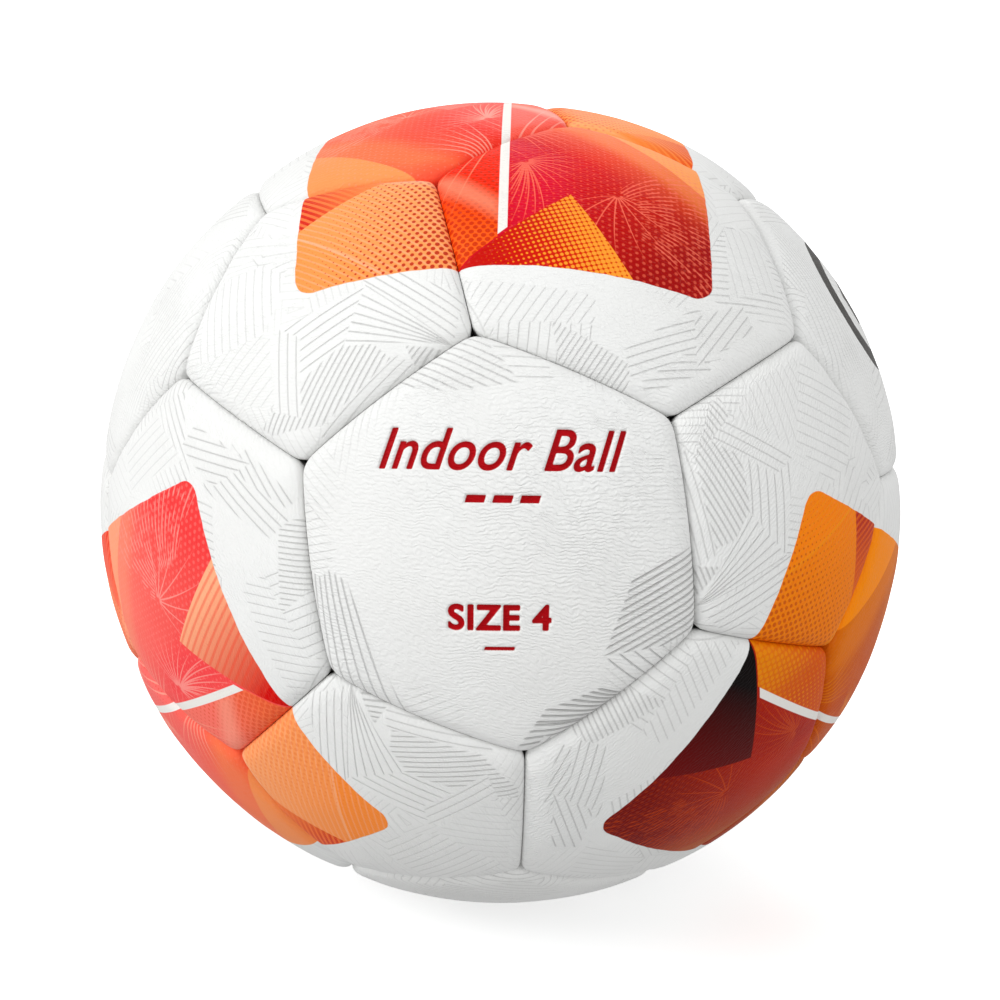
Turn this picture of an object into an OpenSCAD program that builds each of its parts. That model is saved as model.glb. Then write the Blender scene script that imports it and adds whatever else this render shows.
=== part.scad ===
// Stitched 32-panel indoor football: 20 hexagons and 12 pentagons around a bladder.
// Origin: centre of the ball. -Y: centre of the front hexagon. +Y: valve. +Z: up.

/* [Ball] */
// Circumference of the inflated ball
circumference = 630; // [580:1:700]

/* [Cover] */
// Thickness of the synthetic-leather skin
skin_t = 1.2; // [0.8:0.1:1.6]
// Thickness of the foam pad under the skin
foam_t = 3; // [2:0.25:3.5]
// Thickness of the laminated cloth lining under the foam
lining_t = 1; // [0.6:0.1:1.4]
// Depth of the turned-in panel edge below the outer surface
rim_depth = 7.2; // [7:0.1:8]
// Thickness of the turned-in panel edge
rim_t = 1; // [0.8:0.1:1.4]
// Gap between the turned-in edges of two neighbouring panels
seam_gap = 0.1; // [0.06:0.02:0.2]
// Radius of curvature of one bulging panel, as a share of the ball's radius
bulge = 0.9; // [0.86:0.01:0.96]

/* [Thread] */
// Diameter of the waxed seam thread
thread_d = 0.8; // [0.5:0.1:1]

/* [Bladder] */
// Wall thickness of the butyl bladder
bladder_t = 1.2; // [0.8:0.1:2]
// Diameter of the reinforcing patch around the valve
patch_d = 36; // [30:1:50]
// Thickness of the reinforcing patch
patch_t = 0.8; // [0.5:0.1:1]

/* [Valve] */
// Diameter of the valve hole in the cover
cover_hole_d = 9; // [8.8:0.1:11]
// Outer diameter of the valve housing's stem
stem_d = 8.6; // [8.2:0.1:8.7]
// Length of the valve housing's stem
stem_l = 22; // [20:1:26]
// How far the mouth of the housing lies below the cover's surface
mouth_recess = 0.4; // [0.2:0.1:0.8]
// Diameter of the housing's flange inside the bladder
flange_d = 22; // [18:1:28]
// Thickness of the housing's flange
flange_t = 1.6; // [1.2:0.1:2]
// Diameter of the plug's shaft
plug_d = 5.6; // [5:0.1:5.8]
// Diameter of the plug's head
head_d = 7; // [6.6:0.1:7.2]
// Thickness of the plug's head
head_t = 1.5; // [1:0.1:2]
// Radial clearance between the plug and the housing
plug_clear = 0.08; // [0.05:0.01:0.15]
// Diameter of the needle hole
needle_d = 2.6; // [2.2:0.1:3]
// Depth of the needle hole, down to the closed slit
needle_l = 10; // [8:1:14]

/* [Hidden] */
$fn = 128;
PI2 = 2 * PI;
R = circumference / PI2;                  // outer radius of the ball
glue = 0.05;                              // bond line between two layers
r_panel = bulge * R;                      // radius of a panel's own curvature
lift = R - r_panel;                       // how far that curve's centre lies towards the panel
d_foam = skin_t + glue;                   // depth of each layer's outer face
d_lining = d_foam + foam_t + glue;
d_inner = d_lining + lining_t;            // depth of the lining's inner face
r_rim = R - rim_depth;                    // foot of the turned-in edges
r_thread = r_rim - 0.1 - thread_d / 2;    // centre line of the seam thread
r_bladder = r_thread - thread_d / 2 - 0.3; // outer face of the bladder
z_mouth = R - mouth_recess;               // mouth of the valve housing
z_seat = z_mouth - head_t - 0.2;          // shoulder that the plug's head rests on
z_foot = z_mouth - stem_l;                // inner end of the housing
z_plug = z_foot + 2.5;                    // inner end of the plug
big = 1.6 * R;                            // half the side of a cutting block

phi = (1 + sqrt(5)) / 2;
function unit(v) = v / norm(v);
// Icosahedral axes (x, y, z) turned so that (1, 1, 1) points to -Y and (0, 0, 1) lies above it.
function turned(v) = [(v[1] - v[0]) / sqrt(2), -(v[0] + v[1] + v[2]) / sqrt(3), (2 * v[2] - v[0] - v[1]) / sqrt(6)];
S = [-1, 1];
function cyclic(v) = [v, [v[1], v[2], v[0]], [v[2], v[0], v[1]]];
// The 12 pentagon centres, the 20 hexagon centres and the 60 points where three seams meet.
pents = [for (a = S, b = S, k = [0, 1, 2]) unit(turned(cyclic([a, 0, b * phi])[k]))];
hexes_all = concat(
    [for (a = S, b = S, c = S) unit(turned([a, b, c]))],
    [for (a = S, b = S, k = [0, 1, 2]) unit(turned(cyclic([0, a / phi, b * phi])[k]))]);
corners = concat(
    [for (a = S, b = S, k = [0, 1, 2]) unit(turned(cyclic([a, 0, b * 3 * phi])[k]))],
    [for (a = S, b = S, c = S, k = [0, 1, 2]) unit(turned(cyclic([a * (2 + phi), b, c * 2 * phi])[k]))],
    [for (a = S, b = S, c = S, k = [0, 1, 2]) unit(turned(cyclic([a * 2, b * phi, c * (2 * phi + 1)])[k]))]);
// The hexagon that points along +Y carries the valve, so it is taken out of the list.
hexes = [for (c = hexes_all) if (c[1] < 0.999) c];
valve_axis = [0, 1, 0];
chord = norm(corners[0] - [for (v = corners) if (norm(v - corners[0]) > 0.01 && norm(v - corners[0]) < 0.42) v][0]);
edge_angle = 2 * asin(chord / 2);
hex_corner = asin(chord);                           // centre of a hexagon to its corner
pent_corner = asin(chord / (2 * sin(36)));          // centre of a pentagon to its corner

// Puts a shape that was made around +Z at direction c, with its +X side towards the point v.
module aim(c, v) {
    x = unit(v - (v * c) * c);
    y = cross(c, x);
    multmatrix([[x[0], y[0], c[0], 0], [x[1], y[1], c[1], 0], [x[2], y[2], c[2], 0], [0, 0, 0, 1]]) children();
}
function near(c) = [for (v = corners) if (v * c > cos(hex_corner + 1)) v][0];
// A ball whose poles lie off the panel that is cut from it, and the bulging curve of a panel at a depth.
module ball(r) { rotate([90, 0, 0]) sphere(r = r); }
module dome(depth) { translate([0, 0, lift]) ball(r_panel - depth); }
// Direction of corner k, and the inward normal of the seam from corner k to the next, for n sides.
function corner(n, a, k) = [sin(a) * cos(360 * k / n), sin(a) * sin(360 * k / n), cos(a)];
function seam_normal(n, a, k) = unit(cross(corner(n, a, k), corner(n, a, k + 1)));
// The pyramid of space over an n-sided panel, moved inwards from its seams by inset.
module wedge(n, a, inset) {
    intersection_for(k = [0:n - 1])
        aim(seam_normal(n, a, k), corner(n, a, k)) translate([-big, -big, inset]) cube(2 * big);
}
module skin(n, a) {
    difference() {
        intersection() {
            wedge(n, a, seam_gap / 2);
            dome(0);
        }
        ball(r_rim);
        intersection() {
            wedge(n, a, seam_gap / 2 + rim_t);
            dome(skin_t);
        }
    }
}
module layer(n, a, d_out, d_in) {
    intersection() {
        wedge(n, a, seam_gap / 2 + rim_t + glue);
        difference() { dome(d_out); dome(d_in); }
    }
}
// A round bar along the valve's axis, from height z0 to z1.
module valve_bar(d, z0, z1) { rotate([-90, 0, 0]) translate([0, 0, z0]) cylinder(d = d, h = z1 - z0); }

module hexagon_panel(i) { color("white") aim(hexes[i], near(hexes[i])) skin(6, hex_corner); }
module pentagon_panel(i) { color("coral") aim(pents[i], near(pents[i])) skin(5, pent_corner); }
module valve_panel() {
    color("white") difference() {
        aim(valve_axis, near(valve_axis)) skin(6, hex_corner);
        valve_bar(cover_hole_d, R - 12, R + 4);
    }
}
module pads(list, n, a, d_out, d_in) { for (c = list) aim(c, near(c)) layer(n, a, d_out, d_in); }
module holed_pad(d_out, d_in) {
    difference() {
        aim(valve_axis, near(valve_axis)) layer(6, hex_corner, d_out, d_in);
        valve_bar(cover_hole_d + 1, R - 16, R + 4);
    }
}
module hexagon_foam_pads() { color("khaki") { pads(hexes, 6, hex_corner, d_foam, d_lining - glue); holed_pad(d_foam, d_lining - glue); } }
module pentagon_foam_pads() { color("khaki") pads(pents, 5, pent_corner, d_foam, d_lining - glue); }
module hexagon_linings() { color("beige") { pads(hexes, 6, hex_corner, d_lining, d_inner); holed_pad(d_lining, d_inner); } }
module pentagon_linings() { color("beige") pads(pents, 5, pent_corner, d_lining, d_inner); }
module seam_thread() {
    trim = 0.45;                                    // keeps the ends of three threads clear of each other
    color("ivory")
        for (i = [0:len(corners) - 2], j = [i + 1:len(corners) - 1])
            if (norm(corners[i] - corners[j]) < 1.01 * chord)
                aim(unit(cross(corners[i], corners[j])), corners[i])
                    rotate([0, 0, trim]) rotate_extrude(angle = edge_angle - 2 * trim)
                        translate([r_thread, 0]) circle(d = thread_d);
}
module bladder() {
    color("dimgray") difference() {
        sphere(r = r_bladder);
        sphere(r = r_bladder - bladder_t);
        valve_bar(stem_d + 0.2, R - 30, R + 4);
    }
}
module valve_patch() {
    color("gray") difference() {
        intersection() {
            valve_bar(patch_d, R - 20, R + 4);
            difference() { sphere(r = r_bladder + 0.1 + patch_t); sphere(r = r_bladder + 0.1); }
        }
        valve_bar(stem_d + 0.4, R - 30, R + 5);
    }
}
module valve_housing() {
    r_in = r_bladder - bladder_t - glue;
    color("black") difference() {
        union() {
            valve_bar(stem_d, z_foot, z_mouth);
            intersection() {
                valve_bar(flange_d, R - 20, R + 4);
                difference() { sphere(r = r_in); sphere(r = r_in - flange_t); }
            }
        }
        valve_bar(plug_d + 2 * plug_clear, z_foot + 2, z_mouth + 1);
        valve_bar(head_d + 2 * plug_clear, z_seat, z_mouth + 2);
        valve_bar(needle_d + 0.8, z_foot - 1, z_foot + 3);
    }
}
module valve_plug() {
    color("dimgray") difference() {
        union() {
            valve_bar(plug_d, z_plug, z_seat + 0.5);
            valve_bar(head_d, z_seat + 0.1, z_seat + 0.1 + head_t);
        }
        valve_bar(needle_d, z_seat + 0.1 + head_t - needle_l, R + 2);
    }
}

for (i = [0:18]) hexagon_panel(i);
valve_panel();
for (i = [0:11]) pentagon_panel(i);
hexagon_foam_pads();
pentagon_foam_pads();
hexagon_linings();
pentagon_linings();
seam_thread();
bladder();
valve_patch();
valve_housing();
valve_plug();
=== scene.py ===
import bpy, math
import numpy as np
from mathutils import Matrix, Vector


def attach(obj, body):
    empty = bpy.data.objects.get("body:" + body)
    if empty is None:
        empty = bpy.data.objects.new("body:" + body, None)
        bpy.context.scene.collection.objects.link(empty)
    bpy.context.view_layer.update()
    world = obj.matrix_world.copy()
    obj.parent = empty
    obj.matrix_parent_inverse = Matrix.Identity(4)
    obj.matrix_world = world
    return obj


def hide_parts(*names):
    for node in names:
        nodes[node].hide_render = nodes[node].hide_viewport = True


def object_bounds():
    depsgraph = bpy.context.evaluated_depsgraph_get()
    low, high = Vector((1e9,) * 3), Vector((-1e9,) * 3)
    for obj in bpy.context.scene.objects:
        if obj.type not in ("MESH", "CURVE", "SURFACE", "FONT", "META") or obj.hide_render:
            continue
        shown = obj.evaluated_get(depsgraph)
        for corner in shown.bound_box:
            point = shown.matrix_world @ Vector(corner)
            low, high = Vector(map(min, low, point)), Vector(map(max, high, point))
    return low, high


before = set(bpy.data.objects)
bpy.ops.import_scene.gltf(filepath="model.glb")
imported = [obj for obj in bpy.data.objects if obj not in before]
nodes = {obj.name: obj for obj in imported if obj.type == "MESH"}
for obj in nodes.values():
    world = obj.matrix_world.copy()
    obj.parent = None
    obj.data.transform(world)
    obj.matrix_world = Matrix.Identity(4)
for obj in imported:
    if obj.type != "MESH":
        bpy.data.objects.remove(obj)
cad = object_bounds()
scene = bpy.context.scene
scene.view_settings.view_transform = "Standard"

# ------------------------------------------------------------------ geometry of the ball (mm)
PHI = (1 + 5 ** 0.5) / 2
A = np.array([[-1 / 2 ** .5, 1 / 2 ** .5, 0], [-1 / 3 ** .5] * 3, [-1 / 6 ** .5, -1 / 6 ** .5, 2 / 6 ** .5]])  # icosahedral axes -> row frame


def unit(v):
    v = np.asarray(v, float)
    return v / np.linalg.norm(v, axis=-1, keepdims=True)


def turned(v):
    return unit(np.asarray(v, float) @ A.T)


def cyc(v):
    return [v, [v[1], v[2], v[0]], [v[2], v[0], v[1]]]


SG = (-1, 1)
CORNERS = np.array([turned(c) for a in SG for b in SG for c in cyc([a, 0, b * 3 * PHI])]
                   + [turned(c) for a in SG for b in SG for d in SG for c in cyc([a * (2 + PHI), b, d * 2 * PHI])]
                   + [turned(c) for a in SG for b in SG for d in SG for c in cyc([a * 2, b * PHI, d * (2 * PHI + 1)])])
R = 1000 * max(float(np.linalg.norm(np.array([v.co for v in nodes[n].data.vertices]), axis=1).max())
               for n in nodes if n.startswith("pentagon_panel"))
FOOT = R - 7.2          # foot of the turned-in edges
SKIN = 1.2

# the 12 rotations that carry the print onto itself, in the row frame
T = []
for k in range(3):
    P = np.roll(np.eye(3), k, axis=0)
    for s in ((1, 1, 1), (1, -1, -1), (-1, 1, -1), (-1, -1, 1)):
        T.append(A @ (np.diag(s) @ P) @ A.T)
PATCH_C = A @ np.array([0, 0, 1.0])
PATCH_X = np.array([1.0, 0, 0])
BASE = {"P": turned([1, 0, PHI]), "C": turned([0, 1 / PHI, PHI]), "A": turned([1, 1, 1]), "B": turned([-1, 1, 1])}


def flat(dirs, c, x):
    """Azimuthal equidistant map of unit directions around c, in mm, with x along +u."""
    x = unit(x - (x @ c) * c)
    y = np.cross(c, x)
    z = np.clip(dirs @ c, -1, 1)
    th = np.arccos(z)
    px, py = dirs @ x, dirs @ y
    h = np.maximum(np.hypot(px, py), 1e-12)
    return np.stack([R * th * px / h, R * th * py / h], -1)


rng = np.random.default_rng(7)
WAVES = [(rng.normal(size=(3, 10)), rng.uniform(0, 6.283, 10)) for _ in range(3)]


def wobble(pts, size, which=0):
    """Smooth noise of about -1 to 1, its features about size mm across."""
    k, ph = WAVES[which]
    return np.sin(pts @ (k * 2.2 / size) + ph).sum(-1) / 3.6


# ------------------------------------------------------------------ lettering pressed into the front panels
def text_outline(body, size, shear=0.0, space=1.0, bold=0.0, at=(0, 0)):
    """Outline segments of a line of text in mm, centred on at."""
    cu = bpy.data.curves.new("t", "FONT")
    cu.body, cu.size, cu.shear, cu.space_character, cu.offset = body, size, shear, space, bold
    cu.align_x, cu.align_y = "CENTER", "CENTER"
    cu.resolution_u = 6
    ob = bpy.data.objects.new("t", cu)
    scene.collection.objects.link(ob)
    bpy.context.view_layer.update()
    me = ob.to_mesh()
    co = np.array([v.co[:2] for v in me.vertices], float).reshape(-1, 2)
    from collections import Counter
    cnt = Counter()
    for f in me.polygons:
        vs = list(f.vertices)
        for a, b in zip(vs, vs[1:] + vs[:1]):
            cnt[(min(a, b), max(a, b))] += 1
    seg = np.array([[co[a], co[b]] for (a, b), n in cnt.items() if n == 1])
    ob.to_mesh_clear()
    bpy.data.objects.remove(ob)
    bpy.data.curves.remove(cu)
    mid = (seg.reshape(-1, 2).max(0) + seg.reshape(-1, 2).min(0)) / 2
    return seg - mid + np.array(at)


def fitted(seg, width, height, at):
    """Outlines scaled to a width and a height in mm and centred on at."""
    lo, hi = seg.reshape(-1, 2).min(0), seg.reshape(-1, 2).max(0)
    return (seg - (lo + hi) / 2) * (np.array([width, height]) / (hi - lo)) + np.array(at)


def signed_distance(p, seg):
    """Distance in mm to the outlines, positive inside the letters."""
    out = np.full(len(p), -9.0)
    lo, hi = seg.reshape(-1, 2).min(0) - 2, seg.reshape(-1, 2).max(0) + 2
    near = np.where(((p > lo) & (p < hi)).all(1))[0]
    q = p[near]
    if not len(q):
        return out
    best = np.full(len(q), 9.0)
    right, left = np.zeros(len(q), int), np.zeros(len(q), int)
    for (a, b) in seg:
        d = b - a
        t = np.clip(((q - a) @ d) / max(d @ d, 1e-12), 0, 1)
        best = np.minimum(best, np.hypot(*(q - a - t[:, None] * d).T))
        if a[1] != b[1]:
            hit = (a[1] > q[:, 1]) != (b[1] > q[:, 1])
            cross = (b[0] - a[0]) * (q[:, 1] - a[1]) / (b[1] - a[1]) + a[0]
            right += hit & (q[:, 0] < cross)
            left += hit & (q[:, 0] > cross)
    out[near] = np.where((right % 2 == 1) & (left % 2 == 1), best, -best)
    return out


def box_outline(x0, y0, x1, y1, slant=0.0):
    p = np.array([[x0, y0], [x1, y0], [x1 + slant, y1], [x0 + slant, y1]], float)
    return np.stack([p, np.roll(p, -1, 0)], 1)


FRONT_TEXT = [      # outlines and how far the strokes are thickened, mm
    (fitted(text_outline("Indoor Ball", 10.0, shear=0.36, space=1.04), 45.0, 7.4, (0.4, 18.6)), 0.14),
    (box_outline(-6.4, 9.1, -2.9, 10.5, 0.4), 0.0), (box_outline(-1.5, 9.1, 2.0, 10.5, 0.4), 0.0), (box_outline(3.4, 9.1, 6.9, 10.5, 0.4), 0.0),
    (fitted(text_outline("SIZE 4", 10.0, space=1.08), 18.2, 4.5, (0.2, -11.6)), 0.26),
    (box_outline(-2.6, -17.8, 2.9, -17.1, 0.2), 0.0)]


def regular(n, r, turn, cx=0.0, cy=0.0):
    a = np.radians(np.arange(n) * 360 / n + turn)
    p = np.stack([r * np.cos(a) + cx, r * np.sin(a) + cy], 1)
    return np.stack([p, np.roll(p, -1, 0)], 1)


BADGE = np.concatenate([regular(72, 17.2, 0, 0, 4), regular(72, 12.0, 0, 0, 4), regular(5, 6.6, 90, 0, 4)])


# ------------------------------------------------------------------ one cover panel
def lattice(N, n):
    """Triangular lattice over a unit regular N-gon: points (plane), faces and ring starts; ring j has N*j points."""
    ang = 2 * np.pi * np.arange(N) / N
    P = np.stack([np.cos(ang), np.sin(ang)], 1)
    rings = [np.zeros((1, 2))]
    for j in range(1, n + 1):
        r = []
        for k in range(N):
            a, b = P[k] * j / n, P[(k + 1) % N] * j / n
            r.append(a + (b - a) * (np.arange(j) / j)[:, None])
        rings.append(np.concatenate(r))
    start = np.cumsum([0] + [len(r) for r in rings])
    faces = []
    for j in range(1, n + 1):
        io, ii = start[j], start[j - 1]
        lo, li = N * j, max(N * (j - 1), 1)
        k = np.repeat(np.arange(N), j)
        m = np.tile(np.arange(j), N)
        o0 = io + k * j + m
        o1 = io + (k * j + m + 1) % lo
        i0 = ii + (k * (j - 1) + m) % li if j > 1 else np.full(N * j, ii)
        faces.append(np.stack([o0, o1, i0], 1))
        if j > 1:
            k = np.repeat(np.arange(N), j - 1)
            m = np.tile(np.arange(j - 1), N)
            o1 = io + (k * j + m + 1) % lo
            i0 = ii + (k * (j - 1) + m) % li
            i1 = ii + (k * (j - 1) + m + 1) % li
            faces.append(np.stack([o1, i1, i0], 1))
    return np.concatenate(rings), np.concatenate(faces), start


def bridge(a, b, count):
    """Quads between two rings that start at vertices a and b."""
    i = np.arange(count)
    j = (i + 1) % count
    return np.stack([a + i, a + j, b + j, b + i], 1)


def seam_normals(N, ang):
    k = np.arange(N) * 2 * np.pi / N
    v = np.stack([np.sin(ang) * np.cos(k), np.sin(ang) * np.sin(k), np.full(N, np.cos(ang))], 1)
    return unit(np.cross(v, np.roll(v, -1, 0)))


def height(d, N, ang, frame3):
    """Outer radius in mm along local unit directions d, and the distance from the nearest seam."""
    s = R * np.arcsin(np.clip(d @ seam_normals(N, ang).T, -1, 1))
    k = 1.15
    near = np.sort(s, 1)
    smooth = -np.log(np.exp(-k * (s - near[:, :1])).sum(1)) / k + near[:, 0]
    th = np.arccos(np.clip(d[:, 2], -1, 1)) / ang
    puff = 0.45 * th ** 2
    w, depth = 4.0, 1.75
    t = np.clip((w - smooth) / w, 0, None)
    wide = 0.35 * np.clip(1 - near[:, 0] / 11, 0, 1) ** 2
    roll = depth * (1 - np.sqrt(np.clip(1 - np.minimum(t, 1) ** 2.3, 0, 1))) + np.maximum(t - 1, 0) * w * 1.5
    world = (d * R) @ frame3.T
    pucker = 0.11 * np.exp(-np.maximum(near[:, 0] - 0.5, 0) / 2.6) * wobble(world, 3.4, 1)
    soft = 0.16 * wobble(world, 30, 0) + 0.05 * wobble(world, 9, 2)
    fade = np.clip(near[:, 0] / 1.5, 0, 1)
    return R + 0.12 - puff - wide - roll + fade * (pucker + soft), near[:, 0]


def make_mesh(name, verts, faces, attrs, hidden_from=None):
    me = bpy.data.meshes.new(name)
    me.vertices.add(len(verts))
    me.vertices.foreach_set("co", (verts * 0.001).astype(np.float32).ravel())
    sizes = np.concatenate([np.full(len(f), f.shape[1]) for f in faces])
    loops = np.concatenate([f.ravel() for f in faces])
    me.loops.add(len(loops))
    me.loops.foreach_set("vertex_index", loops.astype(np.int32))
    me.polygons.add(len(sizes))
    me.polygons.foreach_set("loop_start", np.concatenate([[0], np.cumsum(sizes)[:-1]]).astype(np.int32))
    me.polygons.foreach_set("use_smooth", np.ones(len(sizes), bool))
    for key, val in attrs.items():
        at = me.attributes.new(key, "FLOAT_VECTOR", "POINT")
        at.data.foreach_set("vector", val.astype(np.float32).ravel())
    me.update(calc_edges=True)
    me.validate()
    ob = bpy.data.objects.new(name, me)
    scene.collection.objects.link(ob)
    return ob


def panel(name, c, v, N, n, kind, g, valve=False):
    x = unit(v - (v @ c) * c)
    F = np.stack([x, np.cross(c, x), c], 1)             # local -> row
    small = kind in "AB" and c @ BASE[kind] < 0.99
    chord = 0.40354821
    ang = math.asin(chord) if N == 6 else math.asin(chord / (2 * math.sin(math.pi / 5)))
    rad = math.tan(ang)
    apo = R * rad * math.cos(math.pi / N)
    f1, f2 = 1 - 0.06 / apo, 1 - 1.15 / apo

    def to_dirs(p):
        return unit(np.concatenate([p, np.ones((len(p), 1))], 1))

    M = N * n
    spots = np.stack([np.cos(2 * np.pi * np.arange(N) / N), np.sin(2 * np.pi * np.arange(N) / N)], 1)

    def cut(p):
        """Corners of the panel drawn in a little, so three of them leave a small dark gap."""
        near = np.min([np.hypot(*(p - q).T) for q in spots], axis=0) * R * rad
        return p * (1 - 0.85 / (R * rad) * np.exp(-(near / 1.15) ** 2))[:, None]

    if not valve:
        pl, tri, start = lattice(N, n)
        pl = cut(pl)
        d = to_dirs(pl * rad * f1)
        h, near = height(d, N, ang, F)
        edge = pl[start[n]:]
        faces = [tri]
    else:
        ring = lattice(N, n)[0][-M:]
        a = np.arctan2(ring[:, 1], ring[:, 0])
        hole = np.stack([np.cos(a), np.sin(a)], 1) * 4.5 / (R * rad)
        steps = np.linspace(0, 1, 72) ** 1.15
        pl = cut(np.concatenate([hole + (ring - hole) * t for t in steps]))
        d = to_dirs(pl * rad * f1)
        h, near = height(d, N, ang, F)
        lip = R * np.hypot(d[:, 0], d[:, 1]) - 4.5
        h = h - 0.75 * np.clip(1 - lip / 1.1, 0, 1) ** 2
        edge = cut(ring)
        faces = [bridge(M * (k + 1), M * k, M) for k in range(71)]
    outer = d * h[:, None]
    seam = near
    count = len(outer)
    last = count - M
    ed1, ed2 = to_dirs(edge * rad * f1), to_dirs(edge * rad * f2)
    r_edge = np.minimum(h[last:], R - 2.2)
    extra = [ed1 * (FOOT + 0.35), to_dirs(edge * rad * (f1 * .85 + f2 * .15)) * FOOT, ed2 * FOOT,
             ed2 * (R - SKIN - 3.2)]
    inner = [1, .93, .8, .6, .35, .12] if not valve else [1, .93, .8, .6, .4]
    for t in inner:
        p = edge * rad * f2 * t
        dd = to_dirs(p)
        th = np.arccos(np.clip(dd[:, 2], -1, 1)) / ang
        extra.append(dd * (R - SKIN - 0.3 - 0.9 * th ** 2)[:, None])
    if valve:
        extra.append(to_dirs(hole * rad * f1) * (R - SKIN - 0.3))
    ring_at = [last] + [count + k * M for k in range(len(extra))]
    for a0, b0 in zip(ring_at, ring_at[1:]):
        faces.append(bridge(b0, a0, M))
    verts = [outer] + extra
    if valve:
        faces.append(bridge(0, ring_at[-1], M))
    else:
        tip = count + len(extra) * M
        verts.append(np.array([[0, 0, R - SKIN - 0.3]]))
        i = np.arange(M)
        faces.append(np.stack([ring_at[-1] + i, ring_at[-1] + (i + 1) % M, np.full(M, tip)], 1)[:, ::-1].copy()[:, [0, 1, 2]])
    verts = np.concatenate(verts)
    seam = np.concatenate([seam, np.full(len(verts) - count, -1.0)])
    world_dirs = unit(verts) @ F.T
    design = flat(world_dirs, g @ PATCH_C, g @ PATCH_X)
    base = BASE[kind]
    xb = np.array([0, 1.0, 0]) if kind == "B" else np.array([1.0, 0, 0])
    local = flat(world_dirs, g @ base, g @ unit(xb - (xb @ base) * base))
    ink = np.full(len(verts), -9.0)
    if kind == "A" and not small:
        ink[:count] = np.max([signed_distance(local[:count], o) + grow for o, grow in FRONT_TEXT], axis=0)
    if kind == "B" and not small:
        ink[:count] = signed_distance(local[:count], BADGE)
    if kind in "AB" and not small:
        deep = 0.55 if kind == "A" else 0.1
        t = np.clip((ink[:count] + 0.22) / 0.34, 0, 1)
        verts[:count] *= (1 - deep * (t * t * (3 - 2 * t)) / R)[:, None]
    one = np.ones(len(verts))
    ob = make_mesh(name, verts @ F.T, faces, {
        "design": np.stack([design[:, 0], design[:, 1], one], 1),
        "local": np.stack([local[:, 0], local[:, 1], one], 1),
        "marks": np.stack([seam, ink, one], 1)})
    return ob


# ------------------------------------------------------------------ shader expressions
class X:
    def __init__(s, g, v):
        s.g, s.v = g, v

    def _m(s, op, *o, clamp=False):
        return s.g.math(op, s, *o, clamp=clamp)

    def __add__(s, o): return s._m("ADD", o)
    def __radd__(s, o): return s._m("ADD", o)
    def __sub__(s, o): return s._m("SUBTRACT", o)
    def __rsub__(s, o): return s.g.math("SUBTRACT", o, s)
    def __mul__(s, o): return s._m("MULTIPLY", o)
    def __rmul__(s, o): return s._m("MULTIPLY", o)
    def __truediv__(s, o): return s._m("DIVIDE", o)
    def clamp(s): return s._m("ADD", 0.0, clamp=True)
    def abs(s): return s._m("ABSOLUTE")
    def min(s, o): return s._m("MINIMUM", o)
    def max(s, o): return s._m("MAXIMUM", o)


def lin(c):
    return tuple((x / 255 / 12.92) if x / 255 <= 0.04045 else ((x / 255 + 0.055) / 1.055) ** 2.4 for x in c) + (1.0,)


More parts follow.
